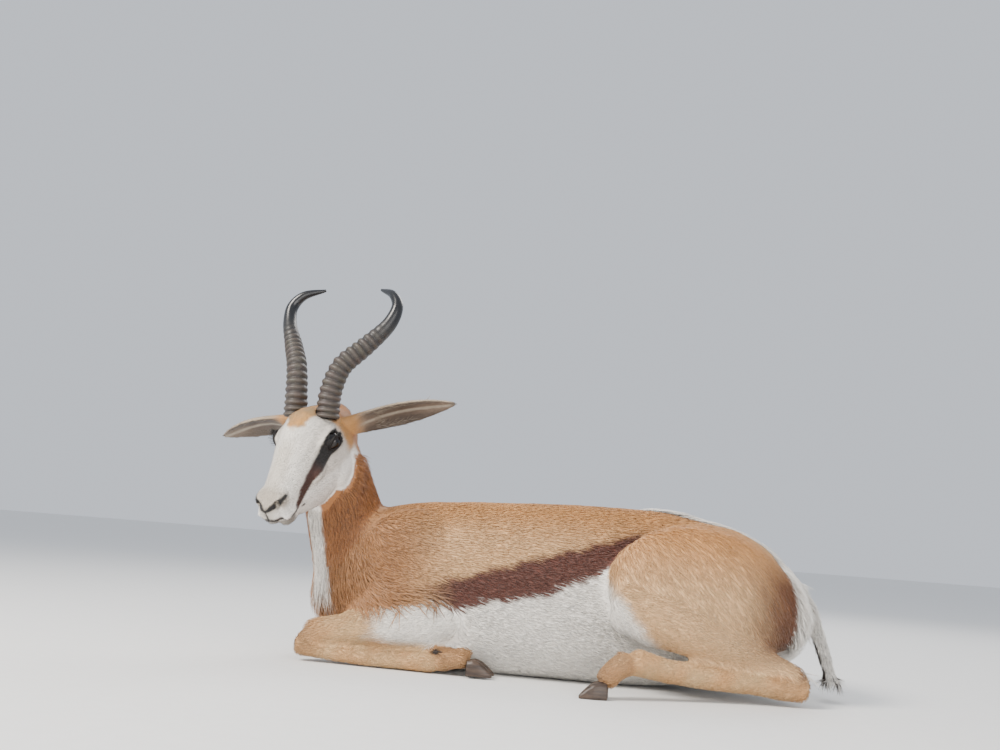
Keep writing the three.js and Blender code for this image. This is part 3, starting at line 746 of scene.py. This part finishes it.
grow("coat_body", ["trunk"], short_coat, 2, 4)
grow("coat_neck", ["neck"], short_coat, 2)
for side in SIDES:
    grow("coat_haunch_" + side, ["thigh_" + side, "gaskin_" + side], short_coat, 2)
    hind = ["hind_cannon_" + side, "hind_pastern_" + side]
    fore = ["forearm_" + side, "fore_cannon_" + side, "fore_pastern_" + side]
    grow("coat_hind_leg_" + side, hind, short_coat, 2)
    grow("coat_foreleg_" + side, fore, short_coat, 2)
    grow("coat_ear_" + side, ["ear_" + side], fine_coat, 1)
grow("coat_face", ["head"], fine_coat, 1, 2)

# Long hair: the white crest closed along the croup, the fluffy rump, the tail with its dark end,
# the shaggy lower chest and the thin hair inside the ears. Each is a longer sliver that bends up
# from its root in the skin.
middle = spots.mean(axis=1)
mx, my, mz = middle.T
crest_edge = np.interp(mx, (0.10, 0.20, 0.36), (0.004, 0.012, 0.026))
on_crest = (np.abs(my) < crest_edge) * (mx > 0.11) * (mx < 0.352) * (mz > 0.17)
grow(
    "hair_crest", ["trunk"], short_coat, 3, 1, 0.2, on_crest,
    (150000, 0.044, 0.0018, 0.0060), WHITE,
)
rump_edge = np.interp(np.abs(my), (0.0, 0.065, 0.10, 0.14), (0.334, 0.344, 0.372, 0.405))
on_rump = (mx > rump_edge) * (mz < 0.215) * (mz > 0.02)
grow(
    "hair_rump", ["trunk", "thigh", "gaskin"], short_coat, 3, 1, 0.25, on_rump,
    (120000, 0.032, 0.0018, 0.0080), WHITE,
)
grow("hair_tail", ["tail"], short_coat, 2)
grow(
    "hair_tail_end", ["tail"], short_coat, 3, 1, 0.06, mz < 0.050,
    (90000, 0.017, 0.0012, 0.0010), tint(70, 56, 47),
)
on_chest = (mx < -0.17) * (mz > 0.055) * (mz < 0.125 + 0.06 * step(-0.24, -0.34, mx))
grow(
    "hair_chest", ["trunk", "neck"], short_coat, 3, 1, 0.2, on_chest,
    (52000, 0.038, 0.0020, 0.0050),
)
for side in SIDES:
    root, along, opening = EARS[side]
    share = (middle - root) @ unit(along) / EAR_LENGTH
    into = unit(face_cross) @ unit(opening)
    in_cup = (share > 0.26) * (share < 0.86) * (into > 0.05) * (into < 0.75)
    grow(
        "hair_in_ear_" + side, ["ear_" + side], fine_coat, 2, 1, 0.3, in_cup,
        (120000, 0.014, 0.0006, 0.0018), tint(158, 143, 124),
    )

# Eyes: a dark moist ball with a level oval pupil, set in its socket so that only the part between
# the lids shows. The clear front of the eye bulges a little. Black lids and lashes edge it.
EYE_RADIUS = 0.01494
LASHES = 70


def link_up(tree, pairs):
    for a, b in pairs:
        tree.links.new(a, b)


def added(tree, kind, **settings):
    node = tree.nodes.new("ShaderNode" + kind)
    for key, value in settings.items():
        setattr(node, key, value)
    return node


eye_wet, tree, surface = nodes_of("eye_wet")
spot = added(tree, "Attribute", attribute_name="eye_place")
stretch = added(tree, "VectorMath", operation="MULTIPLY")
stretch.inputs[1].default_value = (0.55, 1.0, 0.0)
away = added(tree, "VectorMath", operation="LENGTH")
fibre = added(tree, "TexNoise")
fibre.inputs["Scale"].default_value = 9
fibre.inputs["Detail"].default_value = 5
ring = added(tree, "ValToRGB")
ring.color_ramp.elements[0].position = 0.20
ring.color_ramp.elements[0].color = (0.003, 0.003, 0.004, 1)
ring.color_ramp.elements[1].position = 0.25
ring.color_ramp.elements[1].color = (0.012, 0.007, 0.005, 1)
rim = ring.color_ramp.elements.new(0.62)
rim.color = (0.004, 0.003, 0.003, 1)
blend_in = added(tree, "MixRGB", blend_type="MULTIPLY")
blend_in.inputs["Fac"].default_value = 0.5
link_up(tree, (
    (spot.outputs["Vector"], stretch.inputs[0]), (stretch.outputs["Vector"], away.inputs[0]),
    (away.outputs["Value"], ring.inputs["Fac"]), (spot.outputs["Vector"], fibre.inputs["Vector"]),
    (ring.outputs["Color"], blend_in.inputs["Color1"]), (fibre.outputs["Fac"], blend_in.inputs["Color2"]),
    (blend_in.outputs["Color"], surface.inputs["Base Color"]),
))
surface.inputs["Roughness"].default_value = 0.06
surface.inputs["Specular IOR Level"].default_value = 0.4
surface.inputs["Coat Weight"].default_value = 0.15
surface.inputs["Coat Roughness"].default_value = 0.03

lid_skin, tree, surface = nodes_of("lid_skin")
place = added(tree, "TexCoord")
crease = added(tree, "TexNoise")
crease.inputs["Scale"].default_value = 900
crease.inputs["Detail"].default_value = 4
hue = added(tree, "ValToRGB")
hue.color_ramp.elements[0].color = (0.004, 0.003, 0.003, 1)
hue.color_ramp.elements[1].color = (0.014, 0.010, 0.009, 1)
fold = added(tree, "Bump")
fold.inputs["Distance"].default_value = 0.0004
link_up(tree, (
    (place.outputs["Object"], crease.inputs["Vector"]), (crease.outputs["Fac"], hue.inputs["Fac"]),
    (hue.outputs["Color"], surface.inputs["Base Color"]), (crease.outputs["Fac"], fold.inputs["Height"]),
    (fold.outputs["Normal"], surface.inputs["Normal"]),
))
surface.inputs["Roughness"].default_value = 0.55
surface.inputs["Specular IOR Level"].default_value = 0.3


def skinned(name, rings, closed_path):
    """A skin over rings of points; a path that isn't closed gets its two ends shut."""
    rows, sides = rings.shape[:2]
    at = rings.reshape(-1, 3)
    quads = []
    for r in range(rows if closed_path else rows - 1):
        for k in range(sides):
            a, b = r * sides + k, r * sides + (k + 1) % sides
            c, d = ((r + 1) % rows) * sides + (k + 1) % sides, ((r + 1) % rows) * sides + k
            quads.append((a, b, c, d))
    if not closed_path:
        quads += [tuple(range(sides))[::-1], tuple(range((rows - 1) * sides, rows * sides))]
    mesh = bpy.data.meshes.new(name)
    mesh.from_pydata(at.tolist(), [], quads)
    piece = bpy.data.objects.new(name, mesh)
    bpy.context.scene.collection.objects.link(piece)
    choose(piece)
    bpy.ops.object.mode_set(mode="EDIT")
    bpy.ops.mesh.select_all(action="SELECT")
    bpy.ops.mesh.normals_make_consistent(inside=False)
    bpy.ops.object.mode_set(mode="OBJECT")
    mesh.polygons.foreach_set("use_smooth", np.ones(len(mesh.polygons), bool))
    return piece


for side, out in (("left", 1), ("right", -1)):
    centre = from_head(-3, 45 * out, 5)
    gaze = unit(HEAD_TURN @ (0.32, 0.93 * out, 0.08))
    level = HEAD_TURN @ (0.88, 0, -0.36)
    level = unit(level - gaze * (level @ gaze))
    turn = np.column_stack((level, np.cross(gaze, level), gaze))
    deselect()
    bpy.ops.mesh.primitive_uv_sphere_add(segments=64, ring_count=48, radius=EYE_RADIUS, location=(0, 0, 0))
    eye = bpy.context.object
    eye.name = "eyeball_" + side
    at = places(eye.data)
    apart = np.hypot(at[:, 0], at[:, 1]) / EYE_RADIUS
    at *= (1 + 0.06 * step(0.66, 0.2, apart) * (at[:, 2] > 0))[:, None]
    layer = eye.data.attributes.new("eye_place", "FLOAT_VECTOR", "POINT")
    layer.data.foreach_set("vector", (at / EYE_RADIUS).astype(np.float32).ravel())
    set_places(eye.data, centre + at @ turn.T)
    eye.data.polygons.foreach_set("use_smooth", np.ones(len(eye.data.polygons), bool))
    eye.data.materials.append(eye_wet)
    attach(eye, "root")
    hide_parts("eye_" + side)

    # lids: a soft rim round an almond opening, thicker above, with a long front corner
    above = 1 if turn[:, 1] @ (HEAD_TURN @ (0, 0, 1)) > 0 else -1
    a = np.linspace(0, 2 * pi, 96, endpoint=False)
    wide = np.radians(np.where(np.cos(a) > 0, 60, 52)) * np.cos(a)
    high = np.radians(np.where(np.sin(a) * above > 0, 34, 28))
    high = high * np.sign(np.sin(a)) * np.abs(np.sin(a)) ** 1.25
    way = np.column_stack((np.sin(wide) * np.cos(high), np.sin(high), np.cos(wide) * np.cos(high))) @ turn.T
    run = unit(np.roll(way, -1, axis=0) - np.roll(way, 1, axis=0))
    flare = np.cross(run, way)
    thick = np.where(np.sin(a) * above > 0, 0.0021, 0.0016)[:, None, None]
    b = np.linspace(0, 2 * pi, 12, endpoint=False)[None, :, None]
    rim = np.cos(b) * way[:, None] + 1.25 * np.sin(b) * flare[:, None]
    rings = (centre + way * EYE_RADIUS * 1.05)[:, None, :] + thick * rim
    lid = skinned("eyelid_" + side, rings, True)
    lid.data.materials.append(lid_skin)
    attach(lid, "root")

    # lashes along the upper lid
    upper = np.flatnonzero((np.sin(a) * above > 0.25))
    pick = chance.choice(upper, LASHES)
    lash_at = centre + way[pick] * EYE_RADIUS * 1.15
    stray = chance.normal(0, 0.08, (LASHES, 3))
    lash_lie = unit(way[pick] * 0.5 + (HEAD_TURN @ (0.25, 0.3 * out, 0.45)) + stray)
    lashes = tufts(
        "lashes_" + side, lash_at, unit(np.cross(np.cross(lash_lie, way[pick]), lash_lie)), lash_lie,
        np.full((LASHES, 2), 0.5), all_over(lash_at, tint(14, 11, 10)), 0.011, 0.0007, -0.0016, 2, 0.9,
    )
    lashes.data.materials.append(fine_coat)
    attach(lashes, "root")

# Horns: hollow-grown horn on a core, ringed for two thirds of its length and smooth and dark at
# the tip. Each ring is a rounded ridge, boldest at the front, and old rings are paler and worn.
HORN_PATH = np.array((
    (-30, 30, 30), (-54, 32, 62), (-86, 42, 90), (-131, 71, 107),
    (-170, 96, 125), (-196, 101, 142), (-215, 87, 153), (-236, 54, 153),
), float)
HORN_BASE_RADIUS = 20
HORN_RINGS = 17
HORN_RINGED = 0.66


def smooth_path(points, count):
    """Points at even steps along the smooth curve through the given ones."""
    ends = np.vstack((2 * points[0] - points[1], points, 2 * points[-1] - points[-2]))
    knots = np.concatenate(((0,), np.cumsum(np.linalg.norm(np.diff(ends, axis=0), axis=1) ** 0.5)))
    made = []
    for i in range(1, len(ends) - 2):
        p0, p1, p2, p3 = ends[i - 1 : i + 3]
        t0, t1, t2, t3 = knots[i - 1 : i + 3]
        t = np.linspace(t1, t2, 60, endpoint=i == len(ends) - 3)[:, None]
        a1 = ((t1 - t) * p0 + (t - t0) * p1) / (t1 - t0)
        a2 = ((t2 - t) * p1 + (t - t1) * p2) / (t2 - t1)
        a3 = ((t3 - t) * p2 + (t - t2) * p3) / (t3 - t2)
        b1 = ((t2 - t) * a1 + (t - t0) * a2) / (t2 - t0)
        b2 = ((t3 - t) * a2 + (t - t1) * a3) / (t3 - t1)
        made.append(((t2 - t) * b1 + (t - t1) * b2) / (t2 - t1))
    dense = np.vstack(made)
    run = np.concatenate(((0,), np.cumsum(np.linalg.norm(np.diff(dense, axis=0), axis=1))))
    even = np.linspace(0, run[-1], count)
    return np.column_stack([np.interp(even, run, dense[:, k]) for k in range(3)])


horn_keratin, tree, surface = nodes_of("horn_keratin")
way_up = added(tree, "Attribute", attribute_name="horn_way")
parts = added(tree, "SeparateXYZ")
grain_map = added(tree, "Mapping")
grain_map.inputs["Scale"].default_value = (4, 0.6, 4)
grain = added(tree, "TexNoise")
grain.inputs["Scale"].default_value = 9
grain.inputs["Detail"].default_value = 6
grain.inputs["Roughness"].default_value = 0.7
place = added(tree, "TexCoord")
stains = added(tree, "TexNoise")
stains.inputs["Scale"].default_value = 60
stains.inputs["Detail"].default_value = 5
body_hue = added(tree, "ValToRGB")
body_hue.color_ramp.elements[0].position = 0.0
body_hue.color_ramp.elements[0].color = (*tint(60, 52, 47), 1)
body_hue.color_ramp.elements[1].position = 1.0
body_hue.color_ramp.elements[1].color = (*tint(22, 23, 28), 1)
for position, colour in ((0.30, tint(50, 44, 41)), (0.56, tint(36, 33, 33)), (0.68, tint(25, 26, 30))):
    stop = body_hue.color_ramp.elements.new(position)
    stop.color = (*colour, 1)
crest_hue = added(tree, "MixRGB", blend_type="MIX")
crest_hue.inputs["Color2"].default_value = (*tint(112, 101, 91), 1)
crest_share = added(tree, "Math", operation="MULTIPLY")
crest_share.inputs[1].default_value = 0.45
streaks = added(tree, "MixRGB", blend_type="MULTIPLY")
streaks.inputs["Fac"].default_value = 0.75
streak_hue = added(tree, "ValToRGB")
streak_hue.color_ramp.elements[0].position = 0.33
streak_hue.color_ramp.elements[0].color = (0.35, 0.32, 0.30, 1)
streak_hue.color_ramp.elements[1].position = 0.62
streak_hue.color_ramp.elements[1].color = (1.15, 1.12, 1.08, 1)
dirt = added(tree, "MixRGB", blend_type="MULTIPLY")
dirt.inputs["Fac"].default_value = 0.35
polish = added(tree, "MapRange")
polish.inputs["From Min"].default_value = 0.5
polish.inputs["From Max"].default_value = 0.75
polish.inputs["To Min"].default_value = 0.55
polish.inputs["To Max"].default_value = 0.27
ridge = added(tree, "Bump")
relief = added(tree, "MapRange")
relief.inputs["From Min"].default_value = 0.5
relief.inputs["From Max"].default_value = 0.7
relief.inputs["To Min"].default_value = 0.8
relief.inputs["To Max"].default_value = 0.02
ridge.inputs["Distance"].default_value = 0.0003
link_up(tree, (
    (way_up.outputs["Vector"], parts.inputs["Vector"]),
    (way_up.outputs["Vector"], grain_map.inputs["Vector"]),
    (parts.outputs["Y"], relief.inputs["Value"]), (relief.outputs["Result"], ridge.inputs["Strength"]),
    (grain_map.outputs["Vector"], grain.inputs["Vector"]), (parts.outputs["Y"], body_hue.inputs["Fac"]),
    (parts.outputs["Z"], crest_share.inputs[0]), (crest_share.outputs["Value"], crest_hue.inputs["Fac"]),
    (body_hue.outputs["Color"], crest_hue.inputs["Color1"]),
    (crest_hue.outputs["Color"], streaks.inputs["Color1"]),
    (grain.outputs["Fac"], streak_hue.inputs["Fac"]),
    (streak_hue.outputs["Color"], streaks.inputs["Color2"]),
    (place.outputs["Object"], stains.inputs["Vector"]), (streaks.outputs["Color"], dirt.inputs["Color1"]),
    (stains.outputs["Color"], dirt.inputs["Color2"]), (dirt.outputs["Color"], surface.inputs["Base Color"]),
    (parts.outputs["Y"], polish.inputs["Value"]), (polish.outputs["Result"], surface.inputs["Roughness"]),
    (grain.outputs["Fac"], ridge.inputs["Height"]), (ridge.outputs["Normal"], surface.inputs["Normal"]),
))
surface.inputs["Coat Weight"].default_value = 0.12
surface.inputs["Coat Roughness"].default_value = 0.25

for side, out in (("left", 1), ("right", -1)):
    rows, sides = 340, 40
    line = smooth_path(HORN_PATH * (1, out, 1), rows)
    along = unit(np.gradient(line, axis=0))
    across = unit(np.cross(along, (0, 0, 1)))
    rise = unit(np.cross(across, along))
    t = np.linspace(0, 1, rows)
    phase = HORN_RINGS * np.minimum(t / HORN_RINGED, 1.0) ** 0.9
    wave = (0.5 - 0.5 * np.cos(2 * pi * phase)) ** 0.8
    fade = step(HORN_RINGED, HORN_RINGED - 0.22, t)
    a = np.linspace(0, 2 * pi, sides, endpoint=False)
    bold = 0.72 + 0.28 * np.sin(a)
    wobble = 0.010 * np.sin(3 * a[None, :] + 1.7 * np.floor(phase)[:, None])
    radius = HORN_BASE_RADIUS * (1 - 0.42 * t - 0.46 * t**5)[:, None]
    swell = 0.165 * (wave * fade)[:, None] + 0.02 * (1 - fade)[:, None]
    radius = radius * (0.905 + swell * bold[None, :] + wobble * fade[:, None])
    rings = line[:, None] + radius[..., None] * (
        0.92 * np.cos(a)[None, :, None] * across[:, None] + np.sin(a)[None, :, None] * rise[:, None]
    )
    world_rings = HEAD_AT + rings @ HEAD_TURN.T * (HEAD_SCALE / 1000)
    horn = skinned("horn_ringed_" + side, world_rings, False)
    layer = horn.data.attributes.new("horn_way", "FLOAT_VECTOR", "POINT")
    held = np.stack((
        np.tile(np.cos(a), (rows, 1)) + 0.37 * np.tile(np.sin(a), (rows, 1)),
        np.tile(t[:, None], (1, sides)),
        (wave * fade)[:, None] * np.ones((1, sides)),
    ), axis=-1)
    layer.data.foreach_set("vector", held.astype(np.float32).ravel())
    horn.data.materials.append(horn_keratin)
    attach(horn, "root")
    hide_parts("horn_" + side)

# Hooves: two hard claws of dark horn on each foot, rounded at the toe and worn flat below, with
# fine growth lines round them. The solid claws are joined and their edges eased.
hoof_horn, tree, surface = nodes_of("hoof_horn")
place = added(tree, "TexCoord")
lines = added(tree, "Mapping")
lines.inputs["Scale"].default_value = (0.3, 0.3, 2.4)
growth = added(tree, "TexNoise")
growth.inputs["Scale"].default_value = 160
growth.inputs["Detail"].default_value = 5
hue = added(tree, "ValToRGB")
hue.color_ramp.elements[0].position = 0.3
hue.color_ramp.elements[0].color = (*tint(38, 29, 24), 1)
hue.color_ramp.elements[1].position = 0.72
hue.color_ramp.elements[1].color = (*tint(82, 65, 53), 1)
lined = added(tree, "Bump")
lined.inputs["Strength"].default_value = 0.6
lined.inputs["Distance"].default_value = 0.0006
link_up(tree, (
    (place.outputs["Object"], lines.inputs["Vector"]), (lines.outputs["Vector"], growth.inputs["Vector"]),
    (growth.outputs["Fac"], hue.inputs["Fac"]), (hue.outputs["Color"], surface.inputs["Base Color"]),
    (growth.outputs["Fac"], lined.inputs["Height"]), (lined.outputs["Normal"], surface.inputs["Normal"]),
))
surface.inputs["Roughness"].default_value = 0.42
HOOF_GRID = 0.0011
for end in ("hind", "fore"):
    for side in SIDES:
        claws = [f"hoof_{end}_{side}_{part}" for part in ("outer", "inner")]
        hoof = copy_of(f"claws_{end}_{side}", claws)
        finish_with(hoof, "REMESH", mode="VOXEL", voxel_size=HOOF_GRID)
        set_places(hoof.data, spread(hoof.data, places(hoof.data), 0.5, 9))
        hoof.data.polygons.foreach_set("use_smooth", np.ones(len(hoof.data.polygons), bool))
        hoof.data.materials.clear()
        hoof.data.materials.append(hoof_horn)
        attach(hoof, "root")
        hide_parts(*claws)

# Floor and light: a wide pale studio floor of plain matt paper, one soft warm key lamp from the
# upper left, a wide soft fill lamp in front and a weaker one behind.
deselect()
bpy.ops.mesh.primitive_plane_add(size=160, location=(0, 0, 0))
floor = bpy.context.object
floor.name = "studio_floor"
studio_paper, tree, surface = nodes_of("studio_paper")
place = added(tree, "TexCoord")
tooth = added(tree, "TexNoise")
tooth.inputs["Scale"].default_value = 40
tooth.inputs["Detail"].default_value = 4
shade = added(tree, "ValToRGB")
shade.color_ramp.elements[0].color = (0.78, 0.78, 0.77, 1)
shade.color_ramp.elements[1].color = (0.83, 0.83, 0.82, 1)
link_up(tree, (
    (place.outputs["Object"], tooth.inputs["Vector"]), (tooth.outputs["Fac"], shade.inputs["Fac"]),
    (shade.outputs["Color"], surface.inputs["Base Color"]),
))
surface.inputs["Roughness"].default_value = 0.9
floor.data.materials.append(studio_paper)
world = bpy.data.worlds.new("studio")
bpy.context.scene.world = world
world.use_nodes = True
world.node_tree.nodes["Background"].inputs["Color"].default_value = (0.86, 0.91, 1.0, 1)
world.node_tree.nodes["Background"].inputs["Strength"].default_value = 0.85
LAMPS = (
    ("key", (-1.9, -1.9, 2.5), 1.1, 180, (1.0, 0.94, 0.86)),
    ("fill", (1.5, -2.8, 1.0), 2.0, 62, (1.0, 0.96, 0.91)),
    ("back", (0.6, 2.4, 2.4), 1.6, 45, (1.0, 0.97, 0.93)),
)
for name, place, size, power, colour in LAMPS:
    bpy.ops.object.light_add(type="AREA", location=place)
    lamp = bpy.context.object
    lamp.name = name
    lamp.data.size = size
    lamp.data.energy = power
    lamp.data.color = colour
    lamp.rotation_euler = (Vector((0, 0, 0.2)) - Vector(place)).to_track_quat("-Z", "Y").to_euler()

low, high = cad_box
